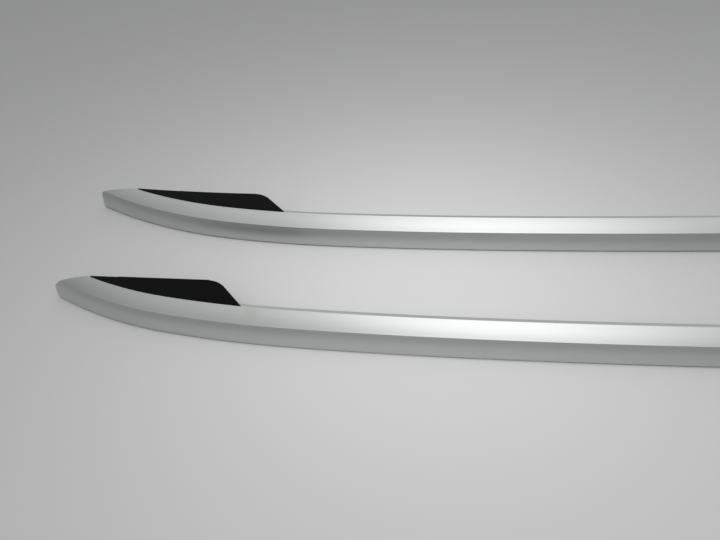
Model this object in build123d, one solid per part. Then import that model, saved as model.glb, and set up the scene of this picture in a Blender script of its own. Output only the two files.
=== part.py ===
from build123d import *
from math import cos, degrees, radians, sin, sqrt, tan
import os

# Pair of raised roof side rails for a car, laid side by side on their inner sides.
# Sizes in mm. X runs along the rails, the roof is towards +Y and outboard is +Z.

# Rail extrusion: flat inner side, sloping top, bevel and a narrow outer side band
RAIL_WIDTH = 32.0
TOP_WIDTH = 20.7
TOP_RISE = 6.2
BEVEL_DROP = 13.9
BAND = 4.7
BAND_LEAN = 0.6
CROWN = 0.4
CREASE_FLAT = 0.6
BAND_FLAT = 0.3
EDGE_R = 1.5
WALL = 2.6
NUT_RIB = 1.8

# Line of the crease: a long arch over the roof, then three tighter bends into each tip
ARCH_R = 8400.0
REAR_ARCH = 406.0
FRONT_ARCH = 243.0
SHOULDER = 196.0
SHOULDER_R = 4700.0
BEND = 134.0
BEND_R = 1165.0
REAR_TIP_R = 442.0
FRONT_TIP_R = 552.0
REAR_TIP = 139.5
FRONT_TIP = 187.5
TIP_OVERRUN = 1.2

# Roof under each foot, with the heel of the foot placed from the start of the tip bend,
# and the steeper cut of the rail from the nose of the foot to its tip
REAR_HEEL_X = 51.8
REAR_HEEL_Y = 37.6
REAR_ROOF_SLOPE = 3.0
REAR_ROOF_R = 20000.0
REAR_TIP_SLOPE = 6.8
FRONT_HEEL_X = 36.7
FRONT_HEEL_Y = 41.1
FRONT_ROOF_SLOPE = 3.3
FRONT_ROOF_R = 1900.0
FRONT_TIP_SLOPE = 12.8

# Moulded feet: a lip over the side band, a sloping heel, walls and ribs open to the roof
HEEL_SLOPE = 50.0
HEEL_R = 28.0
FOOT_SETBACK = 0.8
FOOT_PROUD = 1.2
FOOT_EDGE = 0.8
FOOT_NOSE = 1.4
FOOT_WALL = 3.0
FOOT_RIB = 2.0
POCKET_MARGIN = 0.5
SADDLE = 4.0
LIP_GAP = 0.15
GASKET = 0.6
GASKET_START = 2.5
GASKET_END = 6.0

# Fasteners: two threaded inserts and two screws with square nuts in each foot
FIRST_INSERT = 23.0
PITCH = 24.0
BOSS_R = 7.5
INSERT_R = 4.3
INSERT_LENGTH = 9.0
INSERT_RECESS = 1.0
INSERT_RELIEF = 1.0
TAP_R = 2.5
SCREW_R = 2.5
SCREW_GAP = 0.25
SCREW_END = 1.5
HEAD_R = 4.75
HEAD_HEIGHT = 2.8
HEAD_GAP = 0.6
HEAD_CHAMFER = 1.1
LEAD_IN = 0.5
TUBE_WALL = 2.0
SOCKET_AF = 3.0
SOCKET_DEPTH = 1.8
NUT_AF = 8.0
NUT_HEIGHT = 4.0
NUT_GAP = 0.2

# Closing plug in the open end of the hollow extrusion
PLUG_GAP = 0.25
PLUG_LENGTH = 62.0
PLUG_WALL = 2.2
PLUG_RECESS = 0.5

# How the two rails lie beside each other
RAIL_SPACING = 168.0
STAGGER = 128.0

MID_Z = RAIL_WIDTH / 2
UNDERSIDE = BEVEL_DROP + BAND
FOOT_IN = FOOT_SETBACK
FOOT_OUT = RAIL_WIDTH + FOOT_PROUD
OUT = Vector(0, 0, 1)


def end_bends(sign, arch, tip_r, tip):
    """Crease from the top of the arch out past one tip; sign is -1 at the rear and 1 at the front."""
    runs = ((arch, ARCH_R), (SHOULDER, SHOULDER_R), (BEND, BEND_R), (TIP_OVERRUN * tip, tip_r))
    start = Vector(0, 0)
    heading = Vector(sign, 0)
    edges = []
    for length, radius in runs:
        edge = JernArc(start, heading, radius, sign * degrees(length / radius))
        edges.append(edge)
        start = edge @ 1
        heading = edge % 1
    return edges


def crease_plane(edges, x):
    """Plane at a point of the crease, its normal square to the rail and towards the roof."""
    for edge in edges:
        if abs(x) <= abs((edge @ 1).X):
            break
    centre = edge.arc_center
    point = Vector(x, centre.Y - sqrt(edge.radius**2 - (x - centre.X) ** 2))
    return Plane(origin=point, x_dir=OUT, z_dir=centre - point)


def along_rail(path, section):
    """Sweep of a section drawn as (towards the roof, outboard) from the crease."""
    heading = path % 0
    forward = heading if heading.X > 0 else -heading
    plane = Plane(origin=path @ 0, x_dir=OUT.cross(forward), z_dir=forward)
    return sweep(plane * section, path=path)


# Section of the extrusion, with two ribs on its floor that keep the square nuts from turning
inner_top = (-TOP_RISE, 0)
crease = (0, TOP_WIDTH)
bevel_foot = (BEVEL_DROP, RAIL_WIDTH)
band_foot = (UNDERSIDE, RAIL_WIDTH - BAND_LEAN)
inner_foot = (UNDERSIDE, 0)
outline = make_face(
    [
        SagittaArc(inner_top, crease, CROWN),
        SagittaArc(crease, bevel_foot, CROWN),
        Line(bevel_foot, band_foot),
        Line(band_foot, inner_foot),
        Line(inner_foot, inner_top),
    ]
)
for corner in (inner_top, band_foot, inner_foot):
    outline = fillet(outline.vertices().sort_by_distance(corner)[0], EDGE_R)
for corner, flat in ((crease, CREASE_FLAT), (bevel_foot, BAND_FLAT)):
    outline = chamfer(outline.vertices().sort_by_distance(corner)[0], flat)


def hollow(inset):
    """Inside of the extrusion, drawn in further by the inset."""
    rib_offset = NUT_AF / 2 + NUT_GAP + NUT_RIB / 2
    rib = Rectangle(2 * (WALL + NUT_HEIGHT), NUT_RIB + 2 * inset)
    ribs = Pos(UNDERSIDE, MID_Z - rib_offset) * rib + Pos(UNDERSIDE, MID_Z + rib_offset) * rib
    return offset(outline, -WALL - inset) - ribs


def build_end(sign, edges, tip, heel_x, heel_y, roof_slope, roof_r, tip_slope):
    """Foot, gasket, fasteners and plug of one end, with the cuts that they make in the rail."""
    joint = edges[-1] @ 0
    path = Wire(edges)
    heel = joint + Vector(-sign * heel_x, heel_y)
    rise = radians(roof_slope)

    def at(u):
        return heel.X + sign * u

    def roof_y(u):
        centre_y = heel.Y + roof_r * cos(rise)
        return centre_y - sqrt(roof_r**2 - (u + roof_r * sin(rise)) ** 2)

    def run_out(drop):
        """How far from the heel a line under the crease comes down to the thickness of the nose."""
        centre = edges[-1].arc_center
        near, far = heel_x, heel_x + tip
        for step in range(40):
            u = (near + far) / 2
            line_y = centre.Y - sqrt((edges[-1].radius - drop) ** 2 - (at(u) - centre.X) ** 2)
            if roof_y(u) - line_y > FOOT_NOSE:
                near = u
            else:
                far = u
        return near

    # Roof under the foot, from a little inboard of the heel to past the tip
    low = Vector(at(-60), roof_y(-60))
    high = Vector(at(heel_x + tip + 60), roof_y(heel_x + tip + 60))
    line = ThreePointArc(low, Vector(at(60), roof_y(60)), high)
    roof_edges = [
        line,
        Line(high, high + Vector(0, 60)),
        Line(high + Vector(0, 60), low + Vector(0, 120)),
        Line(low + Vector(0, 120), low),
    ]
    roof_face = make_face(roof_edges)
    roof = extrude(Pos(0, 0, -10) * roof_face, RAIL_WIDTH + 30)

    # Cut of the rail: along the roof as far as the nose of the foot, then steeper to the tip
    nose_u = run_out(BEVEL_DROP)
    nose = Vector(at(nose_u), roof_y(nose_u))
    past_nose = nose + Vector(sign * cos(radians(tip_slope)), sin(radians(tip_slope))) * 2 * tip
    down = Vector(0, -200)
    tip_face = make_face(Polyline(nose, past_nose, past_nose + down, nose + down, close=True))
    rail_cut = extrude(Pos(0, 0, -10) * (roof_face - tip_face), RAIL_WIDTH + 30)

    # Plan of the foot: heel slope up to the rail, rounded into the base on the roof
    slope = Vector(sign * cos(radians(HEEL_SLOPE)), sin(radians(HEEL_SLOPE)))
    past_tip = at(heel_x + tip)
    lip_z = RAIL_WIDTH - BAND_LEAN + LIP_GAP
    over_tip = Vector(past_tip, heel.Y - 60)
    under_tip = Vector(past_tip, heel.Y + 60)
    corners = (heel + slope * 20, heel - slope * 80, over_tip, under_tip)
    plan = make_face(Polyline(*corners, close=True)) - roof_face
    plan = fillet(plan.vertices().sort_by_distance(heel)[0], HEEL_R)
    blank = extrude(Pos(0, 0, FOOT_IN) * plan, FOOT_OUT - FOOT_IN)
    rims = blank.edges().filter_by(lambda e: abs((e @ 0.5).Z - MID_Z) > 14 and (e @ 0.5).Y > heel.Y - 58)
    rims = rims.filter_by(lambda e: abs((e @ 0.5).X - past_tip) > 1)
    blank = chamfer(rims, FOOT_EDGE)
    above = [
        (-90, -20),
        (UNDERSIDE, -20),
        (UNDERSIDE, lip_z),
        (BEVEL_DROP, RAIL_WIDTH + LIP_GAP),
        (BEVEL_DROP, 60),
        (-90, 60),
    ]
    foot = blank - along_rail(path, make_face(Polyline(*above, close=True)))
    foot -= Pos(at(run_out(UNDERSIDE)) + sign * 100, heel.Y, lip_z - 50) * Box(200, 200, 100)
    foot -= Pos(nose.X + sign * 100, heel.Y, MID_Z) * Box(200, 200, 100)

    # Stations of the fasteners along the base
    insert_us = (FIRST_INSERT, FIRST_INSERT + 2 * PITCH)
    screw_us = (FIRST_INSERT + PITCH, FIRST_INSERT + 3 * PITCH)
    pocket_from = HEEL_R * tan(radians(HEEL_SLOPE - roof_slope) / 2) + POCKET_MARGIN
    pocket_to = screw_us[1] + HEAD_R + HEAD_GAP + TUBE_WALL + FOOT_RIB
    inner_width = FOOT_OUT - FOOT_IN - 2 * FOOT_WALL
    pocket_z = (FOOT_IN + FOOT_OUT) / 2

    # Inside of the foot: ribs between the bosses, everything else open to the roof
    span = pocket_to - pocket_from
    pocket = Pos(at((pocket_from + pocket_to) / 2), heel.Y, pocket_z) * Box(span, 120, inner_width)
    saddle = Pos(UNDERSIDE + SADDLE - 50, MID_Z) * Rectangle(100, 80)
    pocket -= along_rail(path, saddle)
    pocket -= Pos(at(60), heel.Y, MID_Z) * Box(200, 120, FOOT_RIB)
    screws = []
    nuts = []
    inserts = []
    rail_holes = []
    bores = []
    for u in insert_us:
        mouth = Pos(at(u), roof_y(u) - INSERT_RECESS, MID_Z) * Rot(X=-90)
        pocket -= Pos(at(u), heel.Y, MID_Z) * Rot(X=90) * Cylinder(BOSS_R, 120)
        pocket -= Pos(at(u), heel.Y, MID_Z) * Box(FOOT_RIB, 120, 60)
        body = Pos(0, 0, -INSERT_LENGTH / 2) * Cylinder(INSERT_R, INSERT_LENGTH)
        insert = body - Pos(0, 0, -INSERT_LENGTH / 2) * Cylinder(TAP_R, INSERT_LENGTH)
        insert = chamfer(insert.edges().group_by(Axis.Z)[-1].sort_by(SortBy.RADIUS)[0], LEAD_IN)
        inserts.append(mouth * insert)
        bores.append(mouth * Pos(0, 0, 10 - INSERT_LENGTH / 2) * Cylinder(INSERT_R, 20 + INSERT_LENGTH))
        bores.append(mouth * Pos(0, 0, -INSERT_LENGTH) * Cylinder(TAP_R + SCREW_GAP, 2 * INSERT_RELIEF))
    for u in screw_us:
        seat = crease_plane(edges, at(u)).location * Pos(MID_Z, 0, UNDERSIDE + SADDLE)
        pocket -= seat * Cylinder(HEAD_R + HEAD_GAP + TUBE_WALL, 100)
        pocket -= Pos(at(u), heel.Y, MID_Z) * Box(FOOT_RIB, 120, 60)
        length = SADDLE + WALL + NUT_HEIGHT + SCREW_END
        hole_r = SCREW_R + SCREW_GAP
        screw = Pos(0, 0, -length / 2) * Cylinder(SCREW_R, length)
        screw = chamfer(screw.edges().group_by(Axis.Z)[0], LEAD_IN)
        head = Pos(0, 0, HEAD_HEIGHT / 2) * Cylinder(HEAD_R, HEAD_HEIGHT)
        head = chamfer(head.edges().group_by(Axis.Z)[-1], HEAD_CHAMFER)
        screw += head
        socket = RegularPolygon(SOCKET_AF / 2, 6, major_radius=False)
        screw -= extrude(Pos(0, 0, HEAD_HEIGHT) * socket, -SOCKET_DEPTH)
        screws.append(seat * screw)
        nut = Box(NUT_AF, NUT_AF, NUT_HEIGHT) - Cylinder(SCREW_R, NUT_HEIGHT)
        nuts.append(seat * Pos(0, 0, -SADDLE - WALL - NUT_HEIGHT / 2) * nut)
        rail_holes.append(seat * Pos(0, 0, -SADDLE - WALL / 2) * Cylinder(hole_r, WALL + 2))
        bores.append(seat * Pos(0, 0, 20) * Cylinder(HEAD_R + HEAD_GAP, 40))
        bores.append(seat * Pos(0, 0, -SADDLE / 2) * Cylinder(hole_r, SADDLE + 2))
    foot = foot - pocket - bores

    # Seal frame that follows the rim of the base
    seal_from = pocket_from - GASKET_START
    seal_to = pocket_to + GASKET_END
    seal_size = (seal_to - seal_from, 60, FOOT_OUT - FOOT_IN - 2 * FOOT_EDGE)
    gasket = roof & Pos(at((seal_from + seal_to) / 2), heel.Y, pocket_z) * Box(*seal_size)
    gasket -= Pos(0, GASKET, 0) * roof
    gasket -= Pos(at((pocket_from + pocket_to) / 2), heel.Y, pocket_z) * Box(span, 120, inner_width)

    # Plug in the mouth of the hollow, just short of the roof, open at its inner end
    mouth = rail_cut.moved(Pos(0, -PLUG_RECESS, 0))
    inner_end = at(heel_x + tip - PLUG_LENGTH)
    inboard = Pos(inner_end - sign * 200, heel.Y, MID_Z) * Box(400, 400, 200)
    beyond = Pos(at(heel_x + tip) + sign * 50, heel.Y, MID_Z) * Box(100, 400, 200)
    tip_path = edges[-1]
    plug = along_rail(tip_path, hollow(PLUG_GAP)) - inboard - mouth - beyond
    core = along_rail(tip_path, hollow(PLUG_GAP + PLUG_WALL)) - mouth.moved(Pos(0, -PLUG_WALL, 0))
    plug -= core

    pieces = {
        "foot": foot,
        "gasket": gasket,
        "inserts": Compound(children=[part.solid() for part in inserts]),
        "foot_screws": Compound(children=[part.solid() for part in screws]),
        "square_nuts": Compound(children=[part.solid() for part in nuts]),
        "end_plug": plug,
    }
    return pieces, [rail_cut, beyond] + rail_holes


# Left rail: hollow sweep from tip to tip, trimmed to the roof at both ends and drilled for the screws
rear_edges = end_bends(-1, REAR_ARCH, REAR_TIP_R, REAR_TIP)
front_edges = end_bends(1, FRONT_ARCH, FRONT_TIP_R, FRONT_TIP)
rear, rear_cuts = build_end(
    -1, rear_edges, REAR_TIP, REAR_HEEL_X, REAR_HEEL_Y, REAR_ROOF_SLOPE, REAR_ROOF_R, REAR_TIP_SLOPE
)
front, front_cuts = build_end(
    1, front_edges, FRONT_TIP, FRONT_HEEL_X, FRONT_HEEL_Y, FRONT_ROOF_SLOPE, FRONT_ROOF_R, FRONT_TIP_SLOPE
)
whole_path = Wire(rear_edges[::-1] + front_edges)
rail = along_rail(whole_path, outline - hollow(0)) - rear_cuts - front_cuts

left = {"rail": rail}
left.update({"rear_" + name: piece for name, piece in rear.items()})
left.update({"front_" + name: piece for name, piece in front.items()})

# Right rail mirrors the left one; the pair is centred over the origin on the table
half = Pos(STAGGER / 2, 0, 0)
pair = {}
for name, piece in left.items():
    pair["left_" + name] = half * piece
    pair["right_" + name] = Pos(0, RAIL_SPACING, 0) * mirror(half * piece, about=Plane.YZ)
extent = pair["left_rail"].bounding_box()
for piece in pair.values():
    extent = extent.add(piece.bounding_box())
middle = extent.center()

os.makedirs("parts", exist_ok=True)
for name, piece in pair.items():
    export_step(Pos(-middle.X, -middle.Y, 0) * piece, "parts/" + name + ".step")
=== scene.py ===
import math

import bmesh
import bpy
from mathutils import Matrix, Vector


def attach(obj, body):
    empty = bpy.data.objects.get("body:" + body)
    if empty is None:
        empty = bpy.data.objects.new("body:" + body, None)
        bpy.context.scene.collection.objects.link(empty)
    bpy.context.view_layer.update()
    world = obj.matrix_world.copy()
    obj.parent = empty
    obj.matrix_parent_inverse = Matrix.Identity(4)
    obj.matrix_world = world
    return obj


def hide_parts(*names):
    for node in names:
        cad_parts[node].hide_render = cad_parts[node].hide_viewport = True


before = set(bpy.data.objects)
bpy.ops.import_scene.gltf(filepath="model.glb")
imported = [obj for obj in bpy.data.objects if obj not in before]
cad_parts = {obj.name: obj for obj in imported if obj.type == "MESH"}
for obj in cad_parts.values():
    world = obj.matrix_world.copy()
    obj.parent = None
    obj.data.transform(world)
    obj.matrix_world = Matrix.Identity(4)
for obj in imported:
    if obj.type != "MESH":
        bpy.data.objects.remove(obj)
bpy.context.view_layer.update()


# Rails: two hollow aluminium extrusions, each with a sloping top, a crease, a bevel and a narrow
# outer side band. They are bent along the roof, cut off to its line at both ends, so that the
# ends run out into flat tips, and anodised in satin silver.
class Term:
    """A socket of a node tree: sums on it add Math nodes to the tree, and node() any other node."""

    def __init__(self, tree, socket=None):
        self.tree = tree
        self.socket = socket

    def node(self, kind, settings, sockets, out=0):
        """A new node, by its type, its settings, and the values or links of its sockets."""
        new = self.tree.nodes.new(kind)
        for name, value in settings.items():
            setattr(new, name, value)
        for key, value in sockets.items():
            for item in value if isinstance(value, list) else [value]:
                if isinstance(item, Term):
                    self.tree.links.new(item.socket, new.inputs[key])
                else:
                    new.inputs[key].default_value = item
        return Term(self.tree, new.outputs[out]) if len(new.outputs) else None

    def math(self, operation, first, second):
        """A Math node on two values."""
        return self.node("ShaderNodeMath", {"operation": operation}, {0: first, 1: second})

    def __add__(self, other):
        return self.math("ADD", self, other)

    def __radd__(self, other):
        return self.math("ADD", other, self)

    def __sub__(self, other):
        return self.math("SUBTRACT", self, other)

    def __rsub__(self, other):
        return self.math("SUBTRACT", other, self)

    def __mul__(self, other):
        return self.math("MULTIPLY", self, other)

    def __rmul__(self, other):
        return self.math("MULTIPLY", other, self)

    def __pow__(self, other):
        return self.math("POWER", self, other)

    def __rpow__(self, other):
        return self.math("POWER", other, self)


def stretched(vector, scales):
    """A vector multiplied axis by axis."""
    return vector.node("ShaderNodeVectorMath", {"operation": "MULTIPLY"}, {0: vector, 1: scales})


def noise(vector, scale, detail, roughness=0.5):
    """Noise from 0 to 1 over a vector."""
    sockets = {"Vector": vector, "Scale": scale, "Detail": detail, "Roughness": roughness}
    return vector.node("ShaderNodeTexNoise", {}, sockets)


def spot(place, centre, radius, fade):
    """A patch that is 1 at its centre and a half at its radius, and fades out beyond."""
    measure = {"operation": "DISTANCE"}
    apart = place.node("ShaderNodeVectorMath", measure, {0: place, 1: centre}, "Value")
    return (1.0 + (apart * (1 / radius)) ** fade) ** -1.0


def blend(factor, first, second):
    """One colour fading into another."""
    return factor.node("ShaderNodeMix", {"data_type": "RGBA"}, {0: factor, 6: first, 7: second}, 2)


def relief(height, strength, distance):
    """Normal of a surface that stands up by the height times the distance."""
    sockets = {"Height": height, "Strength": strength, "Distance": distance}
    return height.node("ShaderNodeBump", {}, sockets)


def new_material(name):
    """An empty material, the first term of its tree, and the place on the piece that wears it."""
    material = bpy.data.materials.new(name)
    material.use_nodes = True
    material.node_tree.nodes.clear()
    start = Term(material.node_tree)
    return material, start, start.node("ShaderNodeTexCoord", {}, {}, "Object")


def surface(start, sockets):
    """Puts a Principled surface with these sockets on a material."""
    shader = start.node("ShaderNodeBsdfPrincipled", {}, sockets)
    start.node("ShaderNodeOutputMaterial", {}, {"Surface": shader})


# Satin anodising: draw lines along the rail, a fine etched grain and faint cloudy patches
SATIN_DARK = (0.537, 0.551, 0.543, 1.0)
SATIN_LIGHT = (0.639, 0.655, 0.648, 1.0)
satin, start, place = new_material("satin_anodised_aluminium")
along = start.node("ShaderNodeAttribute", {"attribute_name": "draw"}, {}, "Vector")
lengthwise = stretched(along, scales=(2.2, 900.0, 900.0))
draw_lines = noise(lengthwise, scale=1.0, detail=4.0, roughness=0.65)
etched = noise(along, scale=5200.0, detail=2.0)
cloudy = noise(stretched(along, scales=(5.0, 40.0, 40.0)), scale=1.0, detail=3.0)
tone = blend(cloudy * 0.5 + draw_lines * 0.5, SATIN_DARK, SATIN_LIGHT)

# Two faint marks on the left rail, as (centre, radius): a brownish smudge on its bevel and a small
# scuff on its top
MARKS = (((-0.575, -0.0945, 0.0292), 0.006), ((-0.3506, -0.1259, 0.0079), 0.0017))
MARK_TONE = (0.36, 0.33, 0.28, 1.0)
MARK_STRENGTH = 0.17
marked = 0.0
for centre, radius in MARKS:
    marked = marked + spot(place, centre, radius, fade=4.0)
tone = blend(marked * MARK_STRENGTH, tone, MARK_TONE)
surface(
    start,
    {
        "Base Color": tone,
        "Metallic": 1.0,
        "Roughness": 0.30 + draw_lines * 0.10 + etched * 0.04 + cloudy * 0.06,
        "Normal": relief(etched * 0.6 + draw_lines * 0.4, strength=0.25, distance=0.00004),
    },
)

RAIL_WIDTH = 0.0320
TOP_WIDTH = 0.0207
TOP_RISE = 0.0062
BEVEL_DROP = 0.0139
UNDERSIDE = 0.0186
BAND_LEAN = 0.0006
TOP_CROWN = 0.0008
BEVEL_CROWN = 0.0005
CROWN_STEPS = 8
CREASE_R = 0.0020
EDGE_R = 0.0015
EDGE_STEPS = 6
WALL = 0.0026
HOLLOW_R = 0.0003
HOLLOW_STEPS = 1
NUT_RIB = 0.0018
NUT_RIB_R = 0.0002
NUT_SPACE = 0.0084
NUT_HEIGHT = 0.0040

# Corners of the section as (towards the roof, outboard, radius, crown of the side that follows)
outer_corners = [
    (-TOP_RISE, 0.0, EDGE_R, TOP_CROWN),
    (0.0, TOP_WIDTH, CREASE_R, BEVEL_CROWN),
    (BEVEL_DROP, RAIL_WIDTH, EDGE_R / 2, 0.0),
    (UNDERSIDE, RAIL_WIDTH - BAND_LEAN, EDGE_R, 0.0),
    (UNDERSIDE, 0.0, EDGE_R, 0.0),
]


def corner_at(corners, index):
    """A corner, the directions to its neighbours, and half the angle between them."""
    point = Vector(corners[index][:2])
    before = (Vector(corners[index - 1][:2]) - point).normalized()
    after = (Vector(corners[(index + 1) % len(corners)][:2]) - point).normalized()
    return point, before, after, before.angle(after) / 2


def rounded(corners, steps):
    """Points of a closed outline with rounded corners and crowned sides."""
    arcs = []
    for index, (_, _, radius, _) in enumerate(corners):
        point, before, after, half = corner_at(corners, index)
        centre = point + (before + after).normalized() * radius / math.sin(half)
        first = point + before * radius / math.tan(half) - centre
        last = point + after * radius / math.tan(half) - centre
        spokes = [first.lerp(last, step / steps).normalized() for step in range(steps + 1)]
        arcs.append([centre + spoke * radius for spoke in spokes])
    points = []
    for index, arc in enumerate(arcs):
        points += arc
        crown = corners[index][3]
        if crown > 0:
            run = arcs[(index + 1) % len(arcs)][0] - arc[-1]
            swell = Vector((-run.y, run.x)).normalized() * crown
            parts = [step / CROWN_STEPS for step in range(1, CROWN_STEPS)]
            points += [arc[-1] + run * part + swell * 4 * part * (1 - part) for part in parts]
    return points


# The hollow is a wall's thickness inside the section, with two ribs on its floor, one on each side
# of the nuts
inner_corners = []
for index in range(len(outer_corners)):
    point, before, after, half = corner_at(outer_corners, index)
    inner = point + (before + after).normalized() * WALL / math.sin(half)
    inner_corners.append((inner.x, inner.y, HOLLOW_R, 0.0))
rib_foot = UNDERSIDE - WALL
rib_top = rib_foot - NUT_HEIGHT
middle = RAIL_WIDTH / 2
ribs = []
for face, level in (
    (NUT_SPACE / 2 + NUT_RIB, (rib_foot, rib_top)),
    (NUT_SPACE / 2, (rib_top, rib_foot)),
    (-NUT_SPACE / 2, (rib_foot, rib_top)),
    (-NUT_SPACE / 2 - NUT_RIB, (rib_top, rib_foot)),
):
    ribs += [(towards_roof, middle + face, NUT_RIB_R, 0.0) for towards_roof in level]
inner_corners = inner_corners[:-1] + ribs + inner_corners[-1:]

# Crease line from the top of the arch outwards, as tangent arcs of (length, radius), and the cut at
# each end: heel from the start of the tip bend, roof slope and radius, how far from the heel the
# steeper cut of the tip starts, its slope, and how far the tip runs
REAR_BENDS = ((0.406, 8.4), (0.196, 4.7), (0.134, 1.165), (0.1674, 0.442))
FRONT_BENDS = ((0.243, 8.4), (0.196, 4.7), (0.134, 1.165), (0.225, 0.552))
BEND_STEP = 0.003
REAR_CUT = (0.0518, 0.0376, 3.0, 20.0, 0.14134, 6.8, 0.1395)
FRONT_CUT = (0.0367, 0.0411, 3.3, 1.9, 0.16599, 12.8, 0.1875)
ROOF_STEPS = 32

# How far what is cut off reaches before the heel, past the tip, up and down, and outside the rail
CUT_BEFORE = 0.06
CUT_PAST = 0.1
CUT_REACH = 0.2
CUT_CLEAR = 0.01


def bend_line(bends):
    """Points of the crease from the top of the arch outwards, and where the last bend starts."""
    points = []
    place = Vector((0.0, 0.0))
    turn = 0.0
    for length, radius in bends:
        joint = place
        centre = place + Vector((-math.sin(turn), math.cos(turn))) * radius
        steps = math.ceil(length / BEND_STEP)
        for step in range(1, steps + 1):
            angle = turn + length / radius * step / steps
            points.append(centre + Vector((math.sin(angle), -math.cos(angle))) * radius)
        place = points[-1]
        turn += length / radius
    return points, joint


def roof_outline(joint, heel_x, heel_y, slope, radius, nose, tip_slope, tip):
    """Outline of what the roof line and the end cut take off one end."""
    heel = joint + Vector((-heel_x, heel_y))
    rise = math.radians(slope)
    reach = heel_x + tip
    points = []
    for step in range(ROOF_STEPS + 1):
        u = -CUT_BEFORE + (nose + CUT_BEFORE) * step / ROOF_STEPS
        drop = math.sqrt(radius**2 - (u + radius * math.sin(rise)) ** 2)
        points.append(heel + Vector((u, radius * math.cos(rise) - drop)))
    points.append(points[-1] + Vector((1.0, math.tan(math.radians(tip_slope)))) * (reach - nose))
    points.append(heel + Vector((reach, -CUT_REACH)))
    points.append(heel + Vector((reach + CUT_PAST, -CUT_REACH)))
    points.append(heel + Vector((reach + CUT_PAST, CUT_REACH)))
    points.append(heel + Vector((-CUT_BEFORE, CUT_REACH)))
    return points


def mirrored(points):
    """Points of the rear end, which are worked out as if it pointed to the front."""
    return [Vector((-point.x, point.y)) for point in points]


rear_line, rear_joint = bend_line(REAR_BENDS)
front_line, front_joint = bend_line(FRONT_BENDS)
crease_line = mirrored(reversed(rear_line)) + [Vector((0.0, 0.0))] + front_line
rear_roof = mirrored(roof_outline(rear_joint, *REAR_CUT))
front_roof = roof_outline(front_joint, *FRONT_CUT)

# The extrusion: the section swept along the crease line, less the hollow and what is cut off
rail_tree = bpy.data.node_groups.new("bent_extrusion", "GeometryNodeTree")
rail_inputs = {}
for name, kind in (
    ("Trim", "Geometry"),
    ("Crease line", "Object"),
    ("Section", "Object"),
    ("Hollow", "Object"),
    ("Spacing", "Float"),
    ("Soft angle", "Float"),
    ("First station", "Float"),
    ("Finish", "Material"),
):
    socket_type = "NodeSocket" + kind
    rail_inputs[name] = rail_tree.interface.new_socket(
        name, in_out="INPUT", socket_type=socket_type
    )
rail_tree.interface.new_socket("Rail", in_out="OUTPUT", socket_type="NodeSocketGeometry")
start = Term(rail_tree)
given = {name: start.node("NodeGroupInput", {}, {}, name) for name in rail_inputs}


def given_curve(name):
    """The curve of an object that is given to the tree."""
    return start.node("GeometryNodeObjectInfo", {}, {"Object": given[name]}, "Geometry")


def stored(geometry, name, value, data_type):
    """A geometry that carries a value at its points under a name."""
    settings = {"data_type": data_type, "domain": "POINT"}
    sockets = {"Geometry": geometry, "Name": name, "Value": value}
    return geometry.node("GeometryNodeStoreNamedAttribute", settings, sockets)


def recalled(name, data_type):
    """A value that was stored under a name."""
    settings = {"data_type": data_type}
    return start.node("GeometryNodeInputNamedAttribute", settings, {"Name": name})


def swept(line, section):
    """A solid that has a section all along a line."""
    sockets = {"Curve": line, "Profile Curve": section, "Fill Caps": True}
    return line.node("GeometryNodeCurveToMesh", {}, sockets)


spaced = {"Curve": given_curve("Crease line"), "Length": given["Spacing"]}
line = start.node("GeometryNodeResampleCurve", {"mode": "LENGTH"}, spaced)
line = start.node("GeometryNodeSetCurveNormal", {"mode": "Z_UP"}, {"Curve": line})
station = start.node("GeometryNodeSplineParameter", {}, {}, "Length") + given["First station"]
line = stored(line, "station", station, "FLOAT")
position = start.node("GeometryNodeInputPosition", {}, {})
section = stored(given_curve("Section"), "across", position, "FLOAT_VECTOR")
blank = swept(line, section)
core = swept(line, given_curve("Hollow"))
cut = {"operation": "DIFFERENCE", "solver": "EXACT"}
cut_meshes = {"Mesh 1": blank, "Mesh 2": [core, given["Trim"]]}
rail = start.node("GeometryNodeMeshBoolean", cut, cut_meshes)

# The lengthwise place and the place in the section go on to the cut mesh, for the draw lines
across = recalled("across", "FLOAT_VECTOR")
across_x = start.node("ShaderNodeSeparateXYZ", {}, {"Vector": across}, "X")
across_y = start.node("ShaderNodeSeparateXYZ", {}, {"Vector": across}, "Y")
drawn = {"X": recalled("station", "FLOAT"), "Y": across_x, "Z": across_y}
draw = start.node("ShaderNodeCombineXYZ", {}, drawn)
nearest = {"Mesh": blank, "Value": draw, "Sample Position": position}
draw = start.node("GeometryNodeSampleNearestSurface", {"data_type": "FLOAT_VECTOR"}, nearest)
rail = stored(rail, "draw", draw, "FLOAT_VECTOR")

# Faces are smooth across gentle folds and hard across the others
fold = start.node("GeometryNodeInputMeshEdgeAngle", {}, {}, "Unsigned Angle")
sharp = start.math("GREATER_THAN", fold, given["Soft angle"])
smooth = {"Geometry": rail, "Shade Smooth": True}
rail = start.node("GeometryNodeSetShadeSmooth", {"domain": "FACE"}, smooth)
hard = {"Geometry": rail, "Selection": sharp, "Shade Smooth": False}
rail = start.node("GeometryNodeSetShadeSmooth", {"domain": "EDGE"}, hard)
rail = start.node("GeometryNodeRealizeInstances", {}, {"Geometry": rail})
rail = start.node("GeometryNodeSetMaterial", {}, {"Geometry": rail, "Material": given["Finish"]})
start.node("NodeGroupOutput", {}, {"Rail": rail})


def poly_curve(name, points, closed):
    """A curve object through points, used only as an input."""
    curve = bpy.data.curves.new(name, "CURVE")
    curve.dimensions = "3D"
    spline = curve.splines.new("POLY")
    spline.points.add(len(points) - 1)
    for target, point in zip(spline.points, points):
        target.co = (point[0], point[1], 0.0, 1.0)
    spline.use_cyclic_u = closed
    return bpy.data.objects.new(name, curve)


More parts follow.
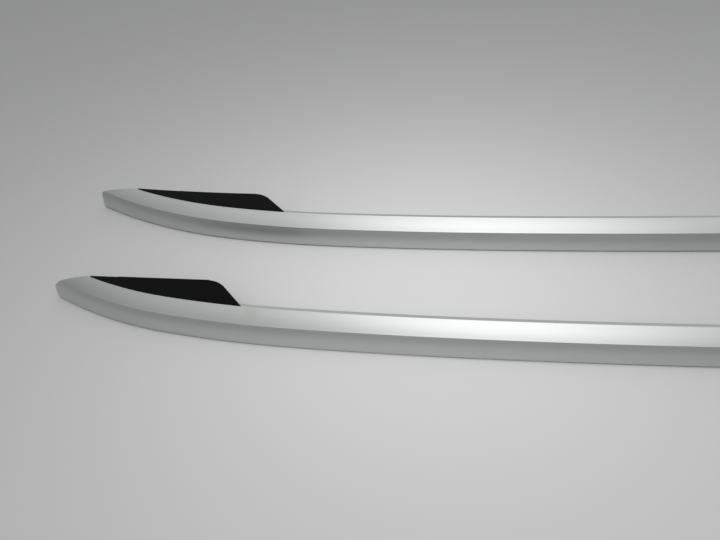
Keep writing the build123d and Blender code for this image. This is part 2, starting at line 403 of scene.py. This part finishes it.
def section_curve(name, corners, steps):
    """A section, turned to lie as the sweep lays it and wound so that its solid faces outwards."""
    return poly_curve(name, [-point for point in reversed(rounded(corners, steps))], True)


def link(piece):
    """Puts an object in the scene."""
    bpy.context.scene.collection.objects.link(piece)
    return piece


# Both rails lie on their inner sides. The right one is the left one mirrored end for end, and the
# two are shifted along each other. Its draw lines start at a station of their own, so that they
# differ from the left one's.
STAGGER = 0.128
RAIL_SPACING = 0.168
LEFT_TOP_Y = -0.13190
SWEEP_SPACING = 0.006
RAIL_SOFT_ANGLE = math.radians(32)
RIGHT_FIRST_STATION = 7.0


def laid(point, hand, shift):
    """A point of the left rail's own frame, on the rail of either hand."""
    return Vector((hand * (point.x + STAGGER / 2), point.y)) + shift


outside = section_curve("rail_section", outer_corners, EDGE_STEPS)
inside = section_curve("rail_hollow", inner_corners, HOLLOW_STEPS)
for side, hand, shift, first_station in (
    ("left", 1, Vector((0.0, LEFT_TOP_Y)), 0.0),
    ("right", -1, Vector((0.0, LEFT_TOP_Y + RAIL_SPACING)), RIGHT_FIRST_STATION),
):
    side_line = [laid(point, hand, shift) for point in crease_line][::hand]
    line_curve = poly_curve(side + "_crease_line", side_line, False)
    trim = bmesh.new()
    for outline in (rear_roof, front_roof):
        low = [trim.verts.new((*laid(point, hand, shift), -CUT_CLEAR)) for point in outline]
        slab = trim.faces.new(low)
        raised = bmesh.ops.extrude_face_region(trim, geom=[slab])["geom"]
        lifted = [item for item in raised if isinstance(item, bmesh.types.BMVert)]
        bmesh.ops.translate(trim, verts=lifted, vec=(0, 0, RAIL_WIDTH + 2 * CUT_CLEAR))
    bmesh.ops.recalc_face_normals(trim, faces=trim.faces)
    trim_mesh = bpy.data.meshes.new(side + "_trim")
    trim.to_mesh(trim_mesh)
    trim.free()
    piece = link(bpy.data.objects.new(side + "_rail_shell", trim_mesh))
    sweep = piece.modifiers.new("bent_extrusion", "NODES")
    sweep.node_group = rail_tree
    for name, value in (
        ("Crease line", line_curve),
        ("Section", outside),
        ("Hollow", inside),
        ("Spacing", SWEEP_SPACING),
        ("Soft angle", RAIL_SOFT_ANGLE),
        ("First station", first_station),
        ("Finish", satin),
    ):
        sweep[rail_inputs[name].identifier] = value
    evaluated = piece.evaluated_get(bpy.context.evaluated_depsgraph_get())
    mesh = bpy.data.meshes.new_from_object(evaluated)
    piece.modifiers.remove(sweep)
    piece.data = mesh
    bpy.data.meshes.remove(trim_mesh)
    bpy.data.objects.remove(line_curve)
    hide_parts(side + "_rail")
    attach(piece, "root")
bpy.data.objects.remove(outside)
bpy.data.objects.remove(inside)


# Feet: four black mouldings of glass-filled nylon, one under each end of a rail. The rail sits in
# the foot's saddle, a lip comes up over the side band, and the finish is a fine satin mould grain.
NYLON_DARK = (0.0009, 0.0008, 0.0013, 1.0)
NYLON_LIGHT = (0.0023, 0.0021, 0.0029, 1.0)
FOOT_SOFT_ANGLE = math.radians(28)
MERGE_DISTANCE = 0.000002
moulded, start, place = new_material("grained_black_nylon")
pebbles = {"Vector": place, "Scale": 1900.0}
grain = start.node("ShaderNodeTexVoronoi", {"feature": "SMOOTH_F1"}, pebbles)
flowing = stretched(place, scales=(14.0, 40.0, 40.0))
flow = noise(flowing, scale=1.0, detail=4.0, roughness=0.6)
dust = noise(place, scale=420.0, detail=3.0, roughness=0.7)
surface(
    start,
    {
        "Base Color": blend(flow * 0.6 + dust * 0.4, NYLON_DARK, NYLON_LIGHT),
        "Roughness": 0.42 + flow * 0.12 + dust * 0.06,
        "Specular IOR Level": 0.06,
        "Normal": relief(grain, strength=0.3, distance=0.00006),
    },
)


def dress(node_name, material, soft_angle):
    """Makes a merged copy of a CAD node, smooth across gentle folds, that stands for it."""
    copy = bmesh.new()
    copy.from_mesh(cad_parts[node_name].data)
    bmesh.ops.remove_doubles(copy, verts=copy.verts, dist=MERGE_DISTANCE)
    bmesh.ops.recalc_face_normals(copy, faces=copy.faces)
    for face in copy.faces:
        face.smooth = True
    for edge in copy.edges:
        edge.smooth = edge.calc_face_angle(math.pi) < soft_angle
    mesh = bpy.data.meshes.new(node_name + "_shell")
    copy.to_mesh(mesh)
    copy.free()
    mesh.materials.clear()
    mesh.materials.append(material)
    for polygon in mesh.polygons:
        polygon.material_index = 0
    piece = link(bpy.data.objects.new(node_name + "_shell", mesh))
    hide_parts(node_name)
    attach(piece, "root")


def dress_ends(kinds, material, soft_angle):
    """Dresses the pieces of these kinds at both ends of both rails."""
    for side in ("left", "right"):
        for end in ("front", "rear"):
            for kind in kinds:
                dress(f"{side}_{end}_{kind}", material, soft_angle)


dress_ends(["foot"], moulded, FOOT_SOFT_ANGLE)


# End plugs: four push-in polyethylene caps that close the slanting mouth of each hollow tip, just
# inside the cut edge, with the dull, slightly waxy skin of a small moulding.
WAX_DARK = (0.010, 0.010, 0.011, 1.0)
WAX_LIGHT = (0.019, 0.019, 0.020, 1.0)
PLUG_SOFT_ANGLE = math.radians(25)
waxy, start, place = new_material("dull_black_polyethylene")
mottle = noise(place, scale=260.0, detail=4.0, roughness=0.65)
pores = noise(place, scale=2600.0, detail=2.0)
surface(
    start,
    {
        "Base Color": blend(mottle, WAX_DARK, WAX_LIGHT),
        "Roughness": 0.55 + mottle * 0.15,
        "Specular IOR Level": 0.35,
        "Normal": relief(pores * 0.5 + mottle * 0.5, strength=0.3, distance=0.00008),
    },
)
dress_ends(["end_plug"], waxy, PLUG_SOFT_ANGLE)


# Gaskets: thin frames of soft EPDM rubber, die-cut and stuck round the open base of each foot to
# seal it on the roof. Their skin is matt, with a greyish bloom in patches.
RUBBER_DARK = (0.014, 0.014, 0.015, 1.0)
RUBBER_BLOOM = (0.040, 0.040, 0.043, 1.0)
GASKET_SOFT_ANGLE = math.radians(25)
rubber, start, place = new_material("matt_seal_rubber")
bloom = noise(place, scale=120.0, detail=4.0, roughness=0.6)
skin = noise(place, scale=3200.0, detail=2.0)
surface(
    start,
    {
        "Base Color": blend(bloom ** 2.0, RUBBER_DARK, RUBBER_BLOOM),
        "Roughness": 0.78 + bloom * 0.14,
        "Specular IOR Level": 0.3,
        "Normal": relief(skin, strength=0.4, distance=0.00005),
    },
)
dress_ends(["gasket"], rubber, GASKET_SOFT_ANGLE)


# Threaded inserts: turned brass bushes moulded into the bosses of each foot, for the bolts that
# come up through the roof. The thread shows as rings of one-millimetre pitch along the bore.
BRASS_DARK = (0.56, 0.38, 0.13, 1.0)
BRASS_LIGHT = (0.74, 0.55, 0.24, 1.0)
THREAD_PITCH = 0.001
INSERT_SOFT_ANGLE = math.radians(35)
brass, start, place = new_material("turned_brass")
depth = start.node("ShaderNodeSeparateXYZ", {}, {"Vector": place}, "Y")
thread = start.math("SINE", depth * (2 * math.pi / THREAD_PITCH), 0.0) * 0.5 + 0.5
rings = stretched(place, scales=(60.0, 5000.0, 60.0))
turned = noise(rings, scale=1.0, detail=3.0, roughness=0.6)
stain = noise(place, scale=700.0, detail=3.0, roughness=0.6)
surface(
    start,
    {
        "Base Color": blend(stain, BRASS_DARK, BRASS_LIGHT),
        "Metallic": 1.0,
        "Roughness": 0.24 + turned * 0.14 + stain * 0.10,
        "Normal": relief(thread * 0.9 + turned * 0.1, strength=0.8, distance=0.0003),
    },
)
dress_ends(["inserts"], brass, INSERT_SOFT_ANGLE)


# Foot screws and square nuts: cold-formed M5 steel, zinc-plated with a bluish passivation that
# clouds from place to place. The screws pull each foot's saddle against the nuts inside the rail.
ZINC_DARK = (0.50, 0.53, 0.56, 1.0)
ZINC_LIGHT = (0.66, 0.68, 0.70, 1.0)
FASTENER_SOFT_ANGLE = math.radians(35)
zinc, start, place = new_material("bluish_zinc_plate")
crystals = {"Vector": place, "Scale": 1500.0}
spangle = start.node("ShaderNodeTexVoronoi", {"feature": "F1"}, crystals)
clouding = noise(place, scale=500.0, detail=4.0, roughness=0.6)
surface(
    start,
    {
        "Base Color": blend(clouding, ZINC_DARK, ZINC_LIGHT),
        "Metallic": 1.0,
        "Roughness": 0.26 + clouding * 0.16 + spangle * 0.06,
        "Normal": relief(clouding, strength=0.3, distance=0.00006),
    },
)
dress_ends(["foot_screws", "square_nuts"], zinc, FASTENER_SOFT_ANGLE)


# Floor: a plain, pale and matt ground with a faint fibre, laid just under both rails. Its colour
# holds
# a painted pool of light: palest between the rails, near the two ends that the camera sees, and
# greyer with painted shade further out.
# The painted pool of light on the floor: its centre and radius, the grey of the painted shade
# further out, and the pale where the light is painted brightest
PAINTED_LIGHT_POOL_CENTRE = (-0.398, -0.008, 0.0)
PAINTED_LIGHT_POOL_RADIUS = 0.334
FLOOR_PAINTED_SHADE_GREY = (0.388, 0.388, 0.391, 1.0)
FLOOR_PAINTED_LIGHT_PALE = (0.858, 0.857, 0.858, 1.0)
FIBRE_TONE = (0.40, 0.40, 0.40, 1.0)
FIBRE_STRENGTH = 0.06
FLOOR_HALF = 6.0
FLOOR_CELLS = 4
FLOOR_DROP = 0.0012
ground, start, place = new_material("pale_floor")
fibre = noise(place, scale=900.0, detail=3.0, roughness=0.6)
# Painted light: the floor's colour is pale inside the pool and fades to a painted-shade grey
# outside it
painted_light_pool = spot(place, PAINTED_LIGHT_POOL_CENTRE, PAINTED_LIGHT_POOL_RADIUS, fade=2.0)
tone = blend(painted_light_pool, FLOOR_PAINTED_SHADE_GREY, FLOOR_PAINTED_LIGHT_PALE)
tone = blend(fibre * FIBRE_STRENGTH, tone, FIBRE_TONE)
surface(start, {"Base Color": tone, "Roughness": 0.85, "Specular IOR Level": 0.2})
cells = bmesh.new()
bmesh.ops.create_grid(cells, x_segments=FLOOR_CELLS, y_segments=FLOOR_CELLS, size=FLOOR_HALF)
floor_mesh = bpy.data.meshes.new("floor")
cells.to_mesh(floor_mesh)
cells.free()
floor_mesh.materials.append(ground)
floor = link(bpy.data.objects.new("floor", floor_mesh))
floor.location.z = -FLOOR_DROP


# Light: one large soft box above and in front of the rails, whose reflection lies along the bevels,
# and a grey fill from all round that is brightest overhead and a little stronger from behind.
KEY_PLACE = Vector((-0.21, -0.86, 1.44))
KEY_AIM = Vector((-0.3, -0.05, 0.0))
KEY_WIDTH = 1.0
KEY_HEIGHT = 1.5
KEY_POWER = 7.8
FILL_LOW = (0.071, 0.070, 0.070, 1.0)
FILL_HIGH = (0.783, 0.787, 0.784, 1.0)
FILL_HORIZON = -0.05
FILL_BEHIND = 0.35
soft_box = bpy.data.lights.new("key_light", "AREA")
soft_box.shape = "RECTANGLE"
soft_box.size = KEY_WIDTH
soft_box.size_y = KEY_HEIGHT
soft_box.energy = KEY_POWER
stand = link(bpy.data.objects.new("key_light", soft_box))
stand.location = KEY_PLACE
stand.rotation_euler = (KEY_AIM - KEY_PLACE).to_track_quat("-Z", "Y").to_euler()
world = bpy.data.worlds.new("studio")
world.use_nodes = True
world.node_tree.nodes.clear()
start = Term(world.node_tree)
sky = start.node("ShaderNodeTexCoord", {}, {}, "Generated")
height = start.node("ShaderNodeSeparateXYZ", {}, {"Vector": sky}, "Z")
rearward = start.node("ShaderNodeSeparateXYZ", {}, {"Vector": sky}, "Y")
behind = start.math("MAXIMUM", rearward, 0.0)
lit = {"Value": height + behind * FILL_BEHIND, "From Min": FILL_HORIZON, "From Max": 1.0}
overhead = start.node("ShaderNodeMapRange", {"interpolation_type": "LINEAR"}, lit)
fill = {"Color": blend(overhead, FILL_LOW, FILL_HIGH), "Strength": 1.0}
studio = start.node("ShaderNodeBackground", {}, fill)
start.node("ShaderNodeOutputWorld", {}, {"Surface": studio})
bpy.context.scene.world = world


# Camera: in front of the left rail and above it, looking down on one end of each rail. It is turned
# a little to the left and rolled a little, so that the rails run slightly downhill to the right.
LENS = 30.0
SENSOR_WIDTH = 36.0
CAMERA_PLACE = (-0.4219, -0.5039, 0.4412)
CAMERA_TURN = math.radians(6.04)
CAMERA_TILT = math.radians(49.035)
CAMERA_ROLL = math.radians(-4.2)
view = bpy.data.cameras.new("camera")
view.lens = LENS
view.sensor_width = SENSOR_WIDTH
camera = link(bpy.data.objects.new("camera", view))
turn = Matrix.Rotation(CAMERA_TURN, 4, "Z")
tilt = Matrix.Rotation(CAMERA_TILT, 4, "X")
roll = Matrix.Rotation(CAMERA_ROLL, 4, "Z")
camera.matrix_world = Matrix.Translation(CAMERA_PLACE) @ turn @ tilt @ roll
bpy.context.scene.camera = camera
bpy.context.scene.view_settings.view_transform = "Standard"
